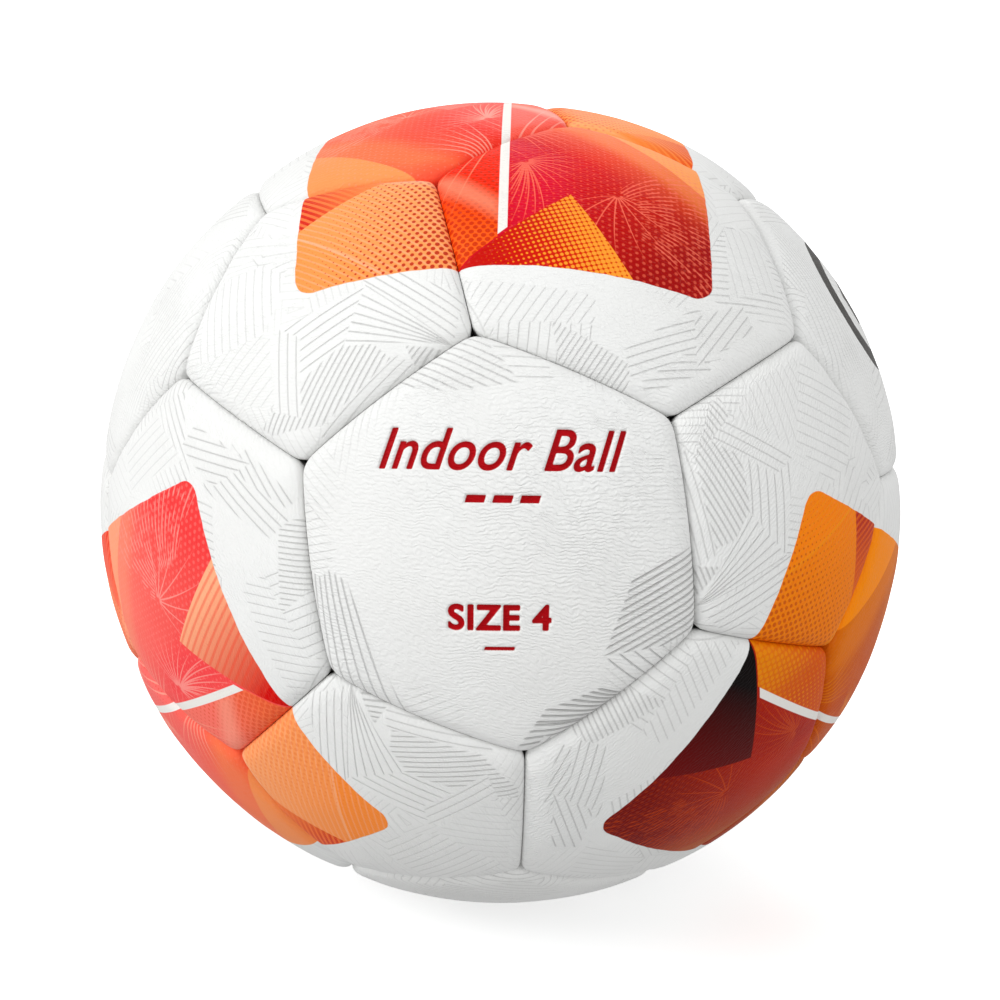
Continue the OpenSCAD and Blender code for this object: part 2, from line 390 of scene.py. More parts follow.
class G:
    def __init__(s, name):
        s.m = bpy.data.materials.new(name)
        s.m.use_nodes = True
        s.t = s.m.node_tree
        s.t.nodes.clear()
        s.out = s.new("ShaderNodeOutputMaterial")
        s.bsdf = s.new("ShaderNodeBsdfPrincipled")
        s.t.links.new(s.bsdf.outputs[0], s.out.inputs[0])

    def new(s, typ):
        return s.t.nodes.new(typ)

    def put(s, sock, v):
        if isinstance(v, X):
            s.t.links.new(v.v, sock)
        elif isinstance(v, (int, float)):
            sock.default_value = v
        else:
            sock.default_value = tuple(v)

    def math(s, op, *a, clamp=False):
        n = s.new("ShaderNodeMath")
        n.operation, n.use_clamp = op, clamp
        for i, v in enumerate(a):
            s.put(n.inputs[i], v)
        return X(s, n.outputs[0])

    def attr(s, name):
        n = s.new("ShaderNodeAttribute")
        n.attribute_type, n.attribute_name = "GEOMETRY", name
        return X(s, n.outputs["Vector"])

    def split(s, v):
        n = s.new("ShaderNodeSeparateXYZ")
        s.put(n.inputs[0], v)
        return [X(s, o) for o in n.outputs]

    def dot(s, v, c):
        n = s.new("ShaderNodeVectorMath")
        n.operation = "DOT_PRODUCT"
        s.put(n.inputs[0], v)
        n.inputs[1].default_value = c
        return X(s, n.outputs["Value"])

    def mix(s, f, a, b):
        n = s.new("ShaderNodeMix")
        n.data_type = "RGBA"
        s.put(n.inputs[0], f)
        s.put(n.inputs[6], a)
        s.put(n.inputs[7], b)
        return X(s, n.outputs[2])

    def noise(s, scale, detail=2.0, rough=0.5, vec=None, dist=0.0):
        n = s.new("ShaderNodeTexNoise")
        n.inputs["Scale"].default_value = scale
        n.inputs["Detail"].default_value = detail
        n.inputs["Roughness"].default_value = rough
        n.inputs["Distortion"].default_value = dist
        s.put(n.inputs["Vector"], vec if vec is not None else s.obj())
        return X(s, n.outputs[0])

    def voronoi(s, scale, feature="F1", vec=None, rand=1.0):
        n = s.new("ShaderNodeTexVoronoi")
        n.feature = feature
        n.inputs["Scale"].default_value = scale
        n.inputs["Randomness"].default_value = rand
        s.put(n.inputs["Vector"], vec if vec is not None else s.obj())
        return X(s, n.outputs["Distance"]), n

    def obj(s):
        if not hasattr(s, "_obj"):
            s._obj = X(s, s.new("ShaderNodeTexCoord").outputs["Object"])
        return s._obj

    # --- pattern helpers, all lengths in mm
    def poly(s, p, pts):
        pts = [np.array(q, float) for q in pts]
        area = sum(a[0] * b[1] - a[1] * b[0] for a, b in zip(pts, pts[1:] + pts[:1]))
        if area < 0:
            pts = pts[::-1]
        out = None
        for a, b in zip(pts, pts[1:] + pts[:1]):
            d = (b - a) / np.linalg.norm(b - a)
            nrm = np.array([-d[1], d[0]])
            h = s.dot(p, (nrm[0], nrm[1], -float(nrm @ a)))
            out = h if out is None else out.min(h)
        return out

    def mask(s, sd, soft=0.12):
        return s.math("MULTIPLY_ADD", sd, 1 / soft, 0.5, clamp=True)

    def stripes(s, f, pitch, width, soft=0.1):
        """1 on lines of that width where f, in mm, is a multiple of pitch."""
        t = s.math("PINGPONG", f, pitch / 2)
        return s.math("MULTIPLY_ADD", t, -1 / soft, width / 2 / soft + 0.5, clamp=True) if not isinstance(width, X) else s.mask(width * 0.5 - t, soft)

    def along(s, p, deg, at=(0, 0)):
        a = math.radians(deg)
        return s.dot(p, (math.cos(a), math.sin(a), -(math.cos(a) * at[0] + math.sin(a) * at[1])))

    def dots(s, p, deg, px, py, radius, soft=0.16):
        """Round dots on a staggered lattice; radius may be an expression."""
        a, b = s.along(p, deg), s.along(p, deg + 90)
        best = None
        for off in (0.0, 0.5):
            u = s.math("PINGPONG", a + off * px, px / 2)
            v = s.math("PINGPONG", b + off * py, py / 2)
            d = s.math("ADD", u * u, v * v)
            best = d if best is None else best.min(d)
        return s.mask(radius - s.math("SQRT", best), soft)

    def fan(s, p, at, first, last, step, r0, r1, w0, w1, bend=0.0):
        """Thin rays from a point, between two angles (degrees) and two radii, from w0 to w1 wide."""
        u = s.dot(p, (1, 0, -at[0]))
        v = s.dot(p, (0, 1, -at[1]))
        mid = (first + last) / 2
        c, si = math.cos(math.radians(mid)), math.sin(math.radians(mid))
        a = u * c + v * si
        b = v * c - u * si
        r = s.math("SQRT", a * a + b * b)
        th = s.math("ARCTAN2", b, a)
        if bend:
            th = th + r * bend
        half = math.radians(last - first) / 2
        d = s.math("PINGPONG", th, math.radians(step) / 2) * r
        t = ((r - r0) * (1 / (r1 - r0))).clamp()
        w = t * (w1 - w0) + w0
        m = s.mask(w * 0.5 - d, 0.1)
        lim = s.mask((half - th.abs()) * r, 0.2)
        ends = s.mask(r - r0, 0.5) * s.mask((r1 - r), (r1 - r0) * 0.6)
        return m * lim * ends

    def grad(s, p, a, b):
        """0 at point a, 1 at point b."""
        a, b = np.array(a, float), np.array(b, float)
        d = b - a
        L = d @ d
        return s.math("ADD", s.dot(p, (d[0] / L, d[1] / L, -float(a @ d) / L)), 0.0, clamp=True)


WHITE = (236, 234, 230)
GREY = (150, 149, 147)


def line_facets(g, p, facets, dark, tint):
    """Embossed hatching laid over the darkness and tint below it, from (polygon, angle, two angles or a fan, pitch, width, strength, tint)."""
    for pts, angs, pitch, width, strength, shade in facets:
        m = g.mask(g.poly(p, pts), 0.4)
        if isinstance(angs, tuple) and angs[0] == "fan":
            _, at, step = angs
            u, v = g.dot(p, (1, 0, -at[0])), g.dot(p, (0, 1, -at[1]))
            th, r = g.math("ARCTAN2", v, u), g.math("SQRT", u * u + v * v)
            d = g.math("PINGPONG", th, math.radians(step) / 2) * r
            ln = g.mask(width / 2 - d, 0.14)
        else:
            if isinstance(angs, tuple):
                f = g.along(p, angs[0] + 90).max(g.along(p, angs[1] + 90))
            else:
                f = g.along(p, angs + 90)
            ln = g.stripes(f, pitch, width, 0.14)
        dark = dark * (1 - m) + ln * m * (strength * 0.75)
        tint = tint * (1 - m) + m * shade
    return dark, tint


def folded(g, q, size, shift, keep):
    """Irregular cells filled with nested outlines or with hatching of their own direction: darkness and tint."""
    v = g.new("ShaderNodeVectorMath")
    v.operation = "MULTIPLY_ADD"
    g.put(v.inputs[0], q)
    v.inputs[1].default_value = (1 / size, 1 / size / 1.25, 0)
    v.inputs[2].default_value = (shift, shift * 1.7, 0)
    co = X(g, v.outputs[0])
    n1 = g.new("ShaderNodeTexVoronoi")
    n1.voronoi_dimensions, n1.feature = "2D", "DISTANCE_TO_EDGE"
    n2 = g.new("ShaderNodeTexVoronoi")
    n2.voronoi_dimensions, n2.feature = "2D", "F1"
    for n in (n1, n2):
        n.inputs["Scale"].default_value = 1.0
        n.inputs["Randomness"].default_value = 1.0
        g.put(n.inputs["Vector"], co)
    dist = X(g, n1.outputs["Distance"]) * size
    r1, r2, r3 = g.split(X(g, n2.outputs["Color"]))
    nest = g.stripes(dist * (r3 * 0.5 + 0.8), 1.75, 0.27, 0.13)
    qx, qy, _ = g.split(q)
    ang = r2 * 6.283
    along = qx * g.math("COSINE", ang) + qy * g.math("SINE", ang) + g.math("SINE", (qx - qy) * 0.09) * 1.2
    hatch = g.stripes(along, 1.45, 0.27, 0.13)
    a = g.mask(r1 - 0.52, 0.02)
    line = hatch + (nest - hatch) * a
    show = g.mask(r3 - (1 - keep), 0.02)
    soft = g.math("MULTIPLY_ADD", g.noise(45.0, 2.0), 3.4, -1.1, clamp=True)
    return line * show * soft * (r2 * 0.5 + 0.35), (r1 - 0.4).max(0.0) * 0.07 * soft


HA_LINES = [
    ([(24.5, -4), (38, 1.5), (39.5, -14), (31, -18), (19.5, -19)], 27, 1.3, 0.34, .72, .05),
    ([(20, -20), (21.5, -19), (31, -18), (36.5, -22), (30, -31.5)], -40, 2.1, 0.26, .6, .0),
    ([(9, -30), (20, -25.5), (31, -31.5), (25, -41), (4, -39)], ("fan", (40, -33), 2.6), 1.55, 0.4, .8, .07),
    ([(9, -36), (24, -40), (30, -46), (5, -46)], (60, -18), 1.7, 0.28, .55, .02),
    ([(-37, -2), (-28, -6), (-17, -33), (-34, -29)], ("fan", (-36, 22), 2.3), 1.9, 0.28, .5, .03),
    ([(-24, -30), (-12, -36), (-23, -38.5)], (88, -20), 1.6, 0.26, .5, .0),
    ([(-24, 31), (-5, 41), (4, 31), (-10, 29)], -25, 1.45, 0.24, .42, .03),
    ([(-2, 39), (8, 37), (10, 30), (3, 31)], (0, -80), 2.0, 0.24, .33, .0),
    ([(20, 4), (35, 4), (36, 16), (22, 20)], 2, 1.25, 0.28, .14, .0),
    ([(-37, 6), (-30, 0), (-33, -6), (-38, -4)], 12, 1.5, 0.24, .22, .0),
]
P_LINES = [
    ([(-12, -26), (-3, -20), (4, -13), (14, -15), (18, -19), (3, -29), (-8, -29)], 58, 1.2, 0.32, .55, .03),
    ([(-5, -8.5), (12, -2), (8, -14), (-1, -20)], 27, 1.95, 0.24, .55, .0),
    ([(12, -2), (8, -14.5), (28.5, -16)], ("fan", (30, -17.2), 5.0), 1.5, 0.24, .55, .0),
    ([(11, -1), (29, -15), (31, -6), (18, 0)], -38, 1.6, 0.24, .5, .0),
    ([(-6, -8), (-1, -11), (-1, -27), (-9, -24)], 90, 1.9, 0.24, .45, .02),
    ([(-27, 9), (-5, 9), (-7, -3), (-13, -14), (-27, -9)], (8, 98), 2.1, 0.26, .32, .0),
    ([(-28, -10), (-8, -8), (-7, -24), (-16, -21)], (-22, 40), 2.2, 0.24, .26, .02),
    ([(-24, 24), (-6, 13), (-26, 11)], -20, 2.4, 0.3, .16, .03),
    ([(-22, 28), (-8, 27), (-8, 16)], -35, 1.7, 0.26, .2, .0),
    ([(2, -31), (18, -17.5), (22, -20), (6, -32)], 40, 1.5, 0.26, .4, .05),
    ([(20, -16), (27, -17), (22, -21)], 50, 1.0, 0.3, .6, .08),
]
C_LINES = [
    ([(-33, -18), (-8, -20), (-8, -30), (-28, -29)], (-8, 60), 1.8, 0.24, .36, .01),
    ([(-27, -27), (-7, -26), (-9, -36), (-25, -32)], (88, 2), 1.9, 0.24, .4, .02),
    ([(-16, -26), (0, -33), (-1, -39), (-14, -34)], 62, 1.1, 0.3, .5, .03),
    ([(0, -36), (18, -27), (24, -18), (12, -18), (-2, -30)], 28, 1.7, 0.26, .5, .02),
    ([(3, -38), (16, -30), (15, -24), (2, -35.5)], 16, 1.5, 0.26, .5, .03),
    ([(13, -30), (26, -18), (23, -13), (12, -20)], 58, 1.8, 0.26, .5, .03),
    ([(20, -13), (34, -4), (30, 10), (21, 8)], 100, 2.2, 0.3, .25, .02),
    ([(20, 8), (31, 12), (28, 26), (20, 22)], 40, 2.2, 0.24, .2, .0),
]
B_LINES = [
    ([(-36, -8), (-22, 2), (-24, 16), (-36, 8)], 70, 1.9, 0.26, .35, .02),
    ([(-22, -30), (-4, -22), (8, -30), (0, -38)], (20, -30), 1.9, 0.26, .4, .02),
    ([(10, -22), (28, -20), (34, -6), (22, -8)], 35, 1.6, 0.28, .4, .02),
    ([(22, 12), (34, 10), (24, 28), (12, 32)], (100, 40), 2.0, 0.26, .35, .0),
    ([(-20, 30), (2, 24), (4, 36), (-12, 38)], -12, 1.5, 0.26, .35, .02),
]
LINES = {"A": HA_LINES, "P": P_LINES, "C": C_LINES, "B": B_LINES}

# colours of the print: for the hexagon's half and the pentagon's corner of a patch, in six sets
HEX_SETS = {
    "A0": dict(sat=1.05, left=(240, 62, 48), left2=(250, 112, 66), inner=(214, 0, 34), inner2=(226, 8, 50), mid=(232, 40, 6), far=(160, 4, 4),
               top=(252, 120, 78), corner=(255, 164, 100), t0=(196, 10, 2), t1=(214, 26, 8), tdot=(250, 162, 76), pale=(255, 160, 130), dot=(248, 128, 108), dots=1.0, ldot=(196, 40, 14)),
    "A1": dict(left=(250, 92, 76), left2=(252, 112, 78), inner=(238, 46, 34), inner2=(246, 70, 58), mid=(252, 92, 66), far=(252, 112, 76),
               top=(252, 92, 62), corner=(253, 150, 86), t0=(196, 66, 66), t1=(236, 100, 92), tdot=(248, 128, 110), pale=(255, 180, 162), dot=(255, 168, 150), dots=.5, ldot=(240, 70, 60)),
    "B0": dict(sat=1.2, tri="plain", speck=0.0, left=(214, 84, 14), left2=(230, 120, 20), inner=(184, 34, 4), inner2=(160, 20, 0), mid=(176, 44, 6), far=(124, 10, 0),
               top=(176, 62, 18), corner=(178, 86, 40), t0=(8, 0, 0), t1=(112, 0, 0), tdot=(122, 6, 2), pale=(216, 112, 78), dot=(198, 70, 24), dots=.6, ldot=(240, 150, 40)),
    "B1": dict(sat=1.15, left=(200, 84, 8), left2=(214, 100, 10), inner=(206, 84, 8), inner2=(196, 72, 6), mid=(204, 90, 6), far=(200, 100, 0),
               top=(214, 104, 10), corner=(255, 144, 16), t0=(170, 60, 10), t1=(190, 84, 14), tdot=(220, 110, 20), pale=(226, 124, 70), dot=(232, 132, 40), dots=.4, ldot=(180, 50, 10)),
    "C0": dict(tri="stripes", left=(253, 116, 100), left2=(248, 112, 66), inner=(250, 84, 80), inner2=(248, 64, 70), mid=(253, 122, 108), far=(242, 58, 58),
               top=(252, 112, 92), corner=(253, 156, 116), t0=(216, 6, 2), t1=(238, 70, 44), tdot=(254, 176, 134), pale=(255, 160, 136), dot=(255, 160, 150), dots=.55, ldot=(232, 74, 36)),
    "C1": dict(left=(250, 108, 102), left2=(250, 104, 80), inner=(250, 100, 92), inner2=(250, 96, 84), mid=(251, 108, 76), far=(251, 114, 46),
               top=(251, 100, 62), corner=(254, 148, 84), t0=(226, 60, 40), t1=(244, 96, 70), tdot=(252, 130, 96), pale=(255, 176, 156), dot=(255, 160, 140), dots=.4, ldot=(230, 50, 30)),
}
PENT_SETS = {
    "A0": dict(base=(254, 158, 92), low=(255, 150, 74), wedge=(214, 36, 14), wedge2=(250, 130, 66), dot=(188, 30, 8), pale=(255, 190, 160)),
    "A1": dict(base=(254, 146, 66), low=(255, 138, 44), wedge=(236, 80, 20), wedge2=(252, 140, 60), dot=(222, 70, 20), pale=(255, 186, 130)),
    "B0": dict(sat=1.12, base=(240, 124, 12), low=(255, 138, 48), wedge=(186, 36, 4), wedge2=(226, 96, 6), dot=(206, 88, 4), pale=(250, 170, 90)),
    "B1": dict(sat=1.12, base=(190, 92, 22), low=(200, 100, 30), wedge=(150, 36, 10), wedge2=(176, 70, 20), dot=(150, 50, 10), pale=(220, 130, 70)),
    "C0": dict(dots=.35, base=(254, 160, 98), low=(255, 142, 54), wedge=(224, 62, 2), wedge2=(250, 122, 50), dot=(240, 100, 40), pale=(255, 190, 150)),
    "C1": dict(base=(252, 130, 84), low=(252, 120, 60), wedge=(230, 60, 40), wedge2=(250, 110, 80), dot=(230, 70, 50), pale=(255, 180, 150)),
}


def patch_outline(g, p):
    """Signed distance to a rounded rectangle with slightly bowed sides."""
    u, v, _ = g.split(p)
    wav = g.noise(260.0, 2.0) - 0.5
    du = u.abs() - 43.0 + (v * v) * 0.00045 + wav * 0.5
    dv = v.abs() - 41.0 + wav * 0.5
    rr = 4.5
    a, b = (du + rr).max(0.0), (dv + rr).max(0.0)
    return rr - g.math("SQRT", a * a + b * b) - (du.max(dv) + rr).min(0.0)


def deeper(g, col, sat):
    n = g.new("ShaderNodeHueSaturation")
    n.inputs["Saturation"].default_value = sat
    n.inputs["Value"].default_value = 1.0
    g.put(n.inputs["Color"], col)
    return X(g, n.outputs[0])


def hex_print(g, p, c):
    L = {k: lin(v) for k, v in c.items() if isinstance(v, tuple)}
    cloud = g.noise(42.0, 3.0) * 5 - 2.5
    col = g.mix(g.grad(p, (8, -12), (36, -8)), L["inner"], L["mid"])
    col = g.mix(g.grad(p, (14, -12), (34, -34)), col, L["far"])
    col = g.mix(g.grad(p, (9, -6), (20, 14)), col, L["top"])
    col = g.mix(g.mask(g.poly(p, [(1, -3), (9, -9), (13, -21.5), (4, -33), (1, -33)]), 6.0) * 0.7, col, L["inner2"])
    col = g.mix(g.mask(g.poly(p, [(44, -9.7), (19, 12.8), (10, 22), (48, 22)]), 0.25), col, L["corner"])
    col = g.mix(g.mask(g.poly(p, [(6, 10), (24, -3), (46, -20), (46, -6), (20, 12)]) + cloud, 5.0) * 0.35, col, L["corner"])
    # small light dots that grow towards the lower right
    rad = g.grad(p, (3, -2), (34, -34)) * 0.22 + 0.17
    lim = g.mask(g.poly(p, [(46, -9.7), (30, 16), (1, 10), (1, -44), (46, -44)]), 1.0)
    col = g.mix(g.dots(p, 32, 1.62, 1.62 * 1.6, rad, 0.2) * lim * (0.42 * c["dots"]), col, L["dot"])
    # bursts of thin rays
    ray = g.fan(p, (4.0, -11.0), -150, 40, 13.5, 0.6, 11.0, 0.34, 0.18, 0.012)
    ray = ray.max(g.fan(p, (4.0, -11.0), -108, -66, 6.5, 1.5, 19.0, 0.38, 0.18, 0.010))
    ray = ray.max(g.fan(p, (22.5, -19.0), -160, 0, 20.0, 0.6, 15.0, 0.36, 0.18, -0.008))
    broken = g.mask(g.noise(330.0, 1.0) - 0.46, 0.12)
    ray = ray.max(g.fan(p, (19.0, -26.0), -20, 72, 4.2, 9.0, 30.0, 0.34, 0.5, 0.012) * broken * 0.9)
    ray = ray.max(g.fan(p, (-9.0, 4.0), -52, -38, 7.0, 1.0, 20.0, 0.5, 0.2))
    ray = ray.max(g.fan(p, (0.0, 8.0), -66, -10, 8.0, 1.0, 17.0, 0.5, 0.2))
    ray = ray * g.mask(g.dot(p, (1, 0, -1.2)), 0.2).max(0.55)
    col = g.mix(ray * 0.72, col, L["dot"])
    # triangle at the foot, dark on the left; screened, striped or plain on the right
    tri = g.mask(g.poly(p, [(-9.6, -41.9), (13, -21.3), (26.5, -43)]), 0.12)
    tc = g.mix(g.grad(p, (-6, -39), (14, -34)), L["t0"], L["t1"])
    if c.get("tri") == "plain":
        tc = g.mix(g.grad(p, (0, -40), (24, -38)), L["t0"], L["t1"])
    elif c.get("tri") == "stripes":
        tc = g.mix(g.grad(p, (-4, -38), (18, -31)), L["t0"], L["tdot"])
        bar = g.stripes(g.along(p, 29.8, (26, -41.5)) + g.noise(30.0, 1.0) * 0.5, 1.7, 0.62, 0.25)
        tc = g.mix(bar * g.grad(p, (-8, -38), (2, -36)) * 0.5, tc, L["t1"])
    else:
        tr = g.grad(p, (-4, -37), (19, -30)) * 0.50 + 0.08
        tc = g.mix(g.dots(p, -24, 1.5, 1.5, tr, 0.2) * g.grad(p, (-6, -38), (2, -36)), tc, L["tdot"])
    col = g.mix(tri, col, tc)
    # the part left of the white line
    lc = g.mix(g.grad(p, (-4, -20), (-9, -34)), L["left"], L["left2"])
    lr = g.grad(p, (-9, -12), (-6, -38)) * 0.36 + 0.22
    lc = g.mix(g.dots(p, 0, 1.6, 1.6 * 1.35, lr, 0.2) * (0.8 * min(1, c["dots"] + .2)), lc, L["ldot"])
    band = g.mask(g.poly(p, [(-17, -13.5), (-9, -16.2), (-1, -24), (-1, -29), (-12, -21)]) + cloud * 0.4, 3.2)
    lc = g.mix(band * 0.6, lc, L["pale"])
    lc = g.mix(g.fan(p, (2.0, 12.0), -142, -104, 5.0, 6.0, 34.0, 0.5, 0.25) * 0.6, lc, L["pale"])
    left = g.mask(g.poly(p, [(-1.3, -34), (-0.2, 22), (-40, 22), (-40, -60), (-30, -59.5)]), 0.12)
    col = g.mix(left * (1 - tri), col, lc)
    col = deeper(g, col, c.get("sat", 1.0))
    # the white line
    line = g.mask(g.poly(p, [(-1.28, -33.4), (0.56, -31.6), (1.32, 40), (-0.56, 40)]), 0.12)
    return g.mix(line, col, lin((240, 237, 232)))


def pent_print(g, p, c):
    L = {k: lin(v) for k, v in c.items() if isinstance(v, tuple)}
    col = g.mix(g.grad(p, (-40, -38), (-20, -20)), L["low"], L["base"])
    low = g.mask(g.poly(p, [(-44, -24), (-22, -42), (-50, -46)]), 0.3)
    col = g.mix(low, col, L["low"])
    edge = g.stripes(g.along(p, 50.7, (-44, -24)), 200.0, 0.5) * g.mask(g.poly(p, [(-43, -12), (-15, -41), (-43, -41)]), 1.0)
    col = g.mix(edge * 0.5, col, L["pale"])
    fine = g.stripes(g.along(p, 52), 1.35, 0.34, 0.2) * 0.3
    col = g.mix(fine, col, L["pale"])
    rad = g.grad(p, (-38, -24), (-12, -30)) * 0.44 + 0.04
    col = g.mix(g.dots(p, 0, 1.62, 1.62 * 1.35, rad, 0.2) * c.get("dots", 0.92), col, L["dot"])
    wedge = g.mask(g.poly(p, [(-46, -6), (-20, -10.5), (-25, -14), (-33, -18), (-46, -24.5)]), 0.15)
    st = g.stripes(g.along(p, 45), 1.35, 0.62, 0.16) * g.grad(p, (-22, -12), (-33, -14))
    wc = g.mix(g.grad(p, (-28, -14), (-41, -18)), L["wedge2"], L["wedge"])
    wc = g.mix(st * 0.75, wc, L["wedge2"])
    col = g.mix(wedge, col, wc)
    # painted highlight: a pale strip inside the pentagon along its seam edge, running left from the corner near (-14,
    # -14), for light caught by the rolled seam lip
    seam_lip_highlight = g.mask(g.poly(p, [(-29, -12), (-17, -14), (-13, -16), (-14, -17.5), (-22, -15.5)]), 1.2)
    return deeper(g, g.mix(seam_lip_highlight * 0.45, col, L["pale"]), c.get("sat", 1.0))


def cover_material(name, kind, colours=None):
    g = G(name)
    p, q, k = g.attr("design"), g.attr("local"), g.split(g.attr("marks"))
    seam, ink = k[0], k[1]
    # white synthetic leather with slow tone changes, folded-paper tints and embossed hatching
    tone = g.noise(28.0, 3.0)
    base = g.mix(tone, lin((231, 231, 229)), lin((240, 241, 240)))
    auto, tint2 = folded(g, q, 21.0, {"A": 3.3, "B": 8.1, "C": 5.2, "P": 12.7}[kind], 0.72)
    if kind == "A":
        lx, ly, _ = g.split(q)
        rim = g.math("MULTIPLY_ADD", g.math("SQRT", lx * lx + ly * ly) + (lx.abs() - ly) * 0.12, 0.25, -7.9, clamp=True)
        auto, tint2 = auto * rim, tint2 * rim
    dark, tint = line_facets(g, q, LINES[kind], auto * 0.5, tint2)
    # painted shade: seam_band greys the leather slightly within about 2.5 mm of each seam, over the seam grooves; the
    # same band also makes the surface rougher there
    seam_band = g.math("MULTIPLY_ADD", seam, -0.30, 0.75, clamp=True)
    # painted shadow: seam_shadow is 1 on the panels' turned-in walls and hidden undersides (seam mark -1) and fades out
    # within about 0.1 mm of the seam on the outer face; it paints them near-black for the shade down in the seam slits
    # and corner gaps
    seam_shadow = g.math("MULTIPLY_ADD", seam, -3.2, 0.35, clamp=True)
    base = g.mix((tint + seam_band * 0.07).clamp(), base, lin((120, 118, 116)))
    base = g.mix((dark * (g.noise(120.0, 1.0) * 0.5 + 0.7)).clamp(), base, lin(GREY))
    if colours is not None:
        sd = patch_outline(g, p)
        out = g.mask(sd, 0.14)
        pr = hex_print(g, p, colours) if kind == "C" else pent_print(g, p, colours)
        speck = g.noise(1500.0, 1.0)
        pr = g.mix(((speck - 0.62) * 3.0).clamp() * colours.get("speck", 0.12), pr, lin((255, 190, 160)))
        base = g.mix(out, base, pr)
        dark = dark * (1 - out)
        # the painted seam shadow is kept weaker inside the printed patches
        seam_shadow = seam_shadow * (1 - out * 0.55)
        relief = out
    elif kind == "A":
        relief = g.mask(ink, 0.12)
        base = g.mix(relief, base, g.mix(g.noise(300.0, 2.0), lin((158, 2, 8)), lin((188, 4, 18))))
    else:
        relief = g.mask(ink, 0.14)
        base = g.mix(relief, base, g.mix(g.noise(200.0, 2.0), lin((58, 56, 54)), lin((84, 81, 78))))
    # base colour, with the painted seam shadow mixed in towards near-black
    g.put(g.bsdf.inputs["Base Color"], g.mix(seam_shadow * 0.85, base, lin((46, 43, 41))))
    # pebble grain, stretched and swirled, with fine pores
    qx, qy, _ = g.split(q)
    warp = g.noise(70.0, 1.0) * 6.0 + g.noise(950.0, 1.0) * 1.25 + g.noise(240.0, 1.0) * 1.8
    ripple = g.math("SINE", (qy + qx * 0.16 + warp) * (6.283 / 0.80)) * g.noise(900.0, 1.0)
    cell, _ = g.voronoi(1150.0, "SMOOTH_F1")
    pores = g.noise(2300.0, 1.0)
    fade = g.math("MULTIPLY_ADD", g.noise(22.0, 2.0), 2.6, -0.65, clamp=True)
    h = ripple * (fade * 0.34 + 0.08) + cell * 0.45 * (1.15 - fade) + pores * 0.22
    h = h - dark * 1.5
    if colours is not None:
        h = h + relief * 0.25
    b = g.new("ShaderNodeBump")
    b.inputs["Strength"].default_value = 1.0
    b.inputs["Distance"].default_value = 0.00026 if kind == "A" else 0.00016
    g.put(b.inputs["Height"], h)
    g.t.links.new(b.outputs[0], g.bsdf.inputs["Normal"])
    ro = g.math("MULTIPLY_ADD", g.noise(60.0, 3.0), 0.14, 0.40)
    ro = ro + dark * 0.1 + seam_band * 0.12
    g.put(g.bsdf.inputs["Roughness"], ro)
    g.bsdf.inputs["IOR"].default_value = 1.17
    return g.m


def simple_material(name, c1, c2, scale, rough, bump, kind="noise", metal=0.0):
    g = G(name)
    if kind == "weave":
        co = g.split(g.obj())
        a = g.math("PINGPONG", co[0] * 1000 + co[2] * 300, 0.45) * 2.2
        b_ = g.math("PINGPONG", co[2] * 1000 + co[1] * 1000, 0.45) * 2.2
        f = (a.max(b_) + g.noise(scale, 2.0) * 0.5).clamp()
    elif kind == "cells":
        d, _ = g.voronoi(scale, "F1")
        f = (d * 1.4).clamp()
    elif kind == "twist":
        co = g.split(g.obj())
        f = g.math("PINGPONG", (co[0] + co[1] * 1.3 + co[2] * 0.7) * 1000 + g.noise(90.0, 1.0) * 2.0, 0.5) * 2.0
    else:
        f = g.noise(scale, 4.0, 0.55)
    g.put(g.bsdf.inputs["Base Color"], g.mix(f, lin(c1), lin(c2)))
    g.put(g.bsdf.inputs["Roughness"], g.math("MULTIPLY_ADD", g.noise(scale * 0.6, 2.0), 0.15, rough - 0.07))
    b = g.new("ShaderNodeBump")
    b.inputs["Strength"].default_value = 0.5
    b.inputs["Distance"].default_value = bump
    g.put(b.inputs["Height"], f + g.noise(scale * 3, 2.0) * 0.4)
    g.t.links.new(b.outputs[0], g.bsdf.inputs["Normal"])
    return g.m


# ------------------------------------------------------------------ build the cover
def node_dir(name):
    co = np.array([v.co for v in nodes[name].data.vertices], float)
    return unit(co.mean(0))


def group_of(kind, c, prefer):
    """The rotation of the print that carries the base panel of this kind onto centre c."""
    ok = [g for g in T if (g @ BASE[kind]) @ c > 0.9999]
    return ok[0] if not prefer else min(ok, key=lambda g: -np.trace(g))


